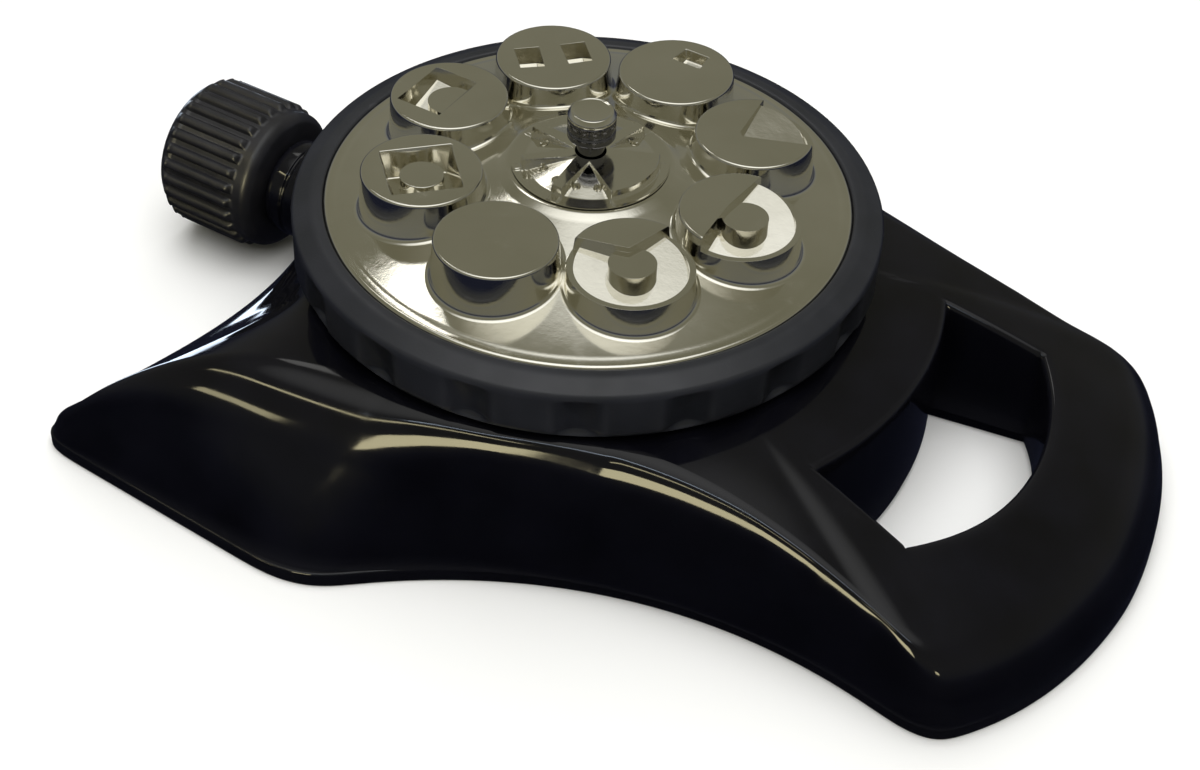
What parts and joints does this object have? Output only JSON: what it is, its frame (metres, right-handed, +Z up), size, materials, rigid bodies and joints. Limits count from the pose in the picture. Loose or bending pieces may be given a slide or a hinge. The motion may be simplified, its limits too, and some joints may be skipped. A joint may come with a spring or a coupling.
{
  "type": "turret lawn sprinkler",
  "caption": "Garden sprinkler on a glossy black base with a carrying handle and swivel hose coupling; a chromed dial of raised nozzles turns to choose the spray pattern.",
  "frame": {"origin": "On the ground under the dial's axis: the middle of the bottom cover's flat face.", "axes": "+X points from the dial to the carrying handle, along the longest side; +Z points up along the dial's axis; +Y completes the right-handed set, across the wings."},
  "size_m": [0.2441, 0.1816, 0.0733],
  "materials": {
    "gloss_black": "glossy moulded ABS, near black",
    "cover_black": "fine matt moulded ABS, near black",
    "satin_black": "satin black moulded nylon",
    "grip_rubber": "soft satin grey rubber",
    "seal_rubber": "plain black sealing rubber",
    "chrome": "bright warm vacuum chrome over moulded plastic",
    "steel": "plain stainless steel, lightly brushed",
    "acetal": "natural white acetal",
    "inner_grey": "plain dark grey moulded ABS"
  },
  "bodies": {
    "base": {"base_top_shell": "gloss_black", "base_bottom_cover": "cover_black", "cover_screw_1": "steel", "cover_screw_2": "steel", "cover_screw_3": "steel", "cover_screw_4": "steel", "cover_screw_5": "steel", "cover_screw_6": "steel", "inlet_stem": "gloss_black", "collar_retaining_ring": "steel", "inlet_o_ring": "seal_rubber", "water_box": "inner_grey", "box_screw_1": "steel", "box_screw_2": "steel", "box_screw_3": "steel", "box_screw_4": "steel", "port_spring": "steel", "detent_leaf": "acetal", "detent_screw": "steel", "thrust_washer": "acetal", "pivot_bolt": "steel", "pivot_cap": "chrome"},
    "dial": {"dial_face": "chrome", "centre_rose": "chrome", "grip_ring": "grip_rubber", "valve_plate": "inner_grey", "dial_gasket": "seal_rubber", "plate_screw_1": "steel", "plate_screw_2": "steel", "plate_screw_3": "steel", "plate_screw_4": "steel", "pivot_bush": "acetal"},
    "collar": {"inlet_collar": "satin_black", "hose_washer": "seal_rubber", "filter_screen": "steel"},
    "seal": {"port_seal": "seal_rubber"}
  },
  "joints": [
    {"name": "dial_turn", "type": "hinge", "parent": "base", "child": "dial", "pos_m": [0, 0, 0.045], "axis": [0, 0, 1], "continuous": true, "deforming": ["detent_leaf"]},
    {"name": "collar_swivel", "type": "hinge", "parent": "base", "child": "collar", "pos_m": [-0.096, 0, 0.019], "axis": [1, 0, 0], "continuous": true},
    {"name": "seal_press", "type": "slide", "parent": "base", "child": "seal", "axis": [0, 0, 1], "range_m": [-0.0015, 0], "stiffness_N_per_m": 300, "springref_m": 0.004, "deforming": ["port_spring"]}
  ]
}
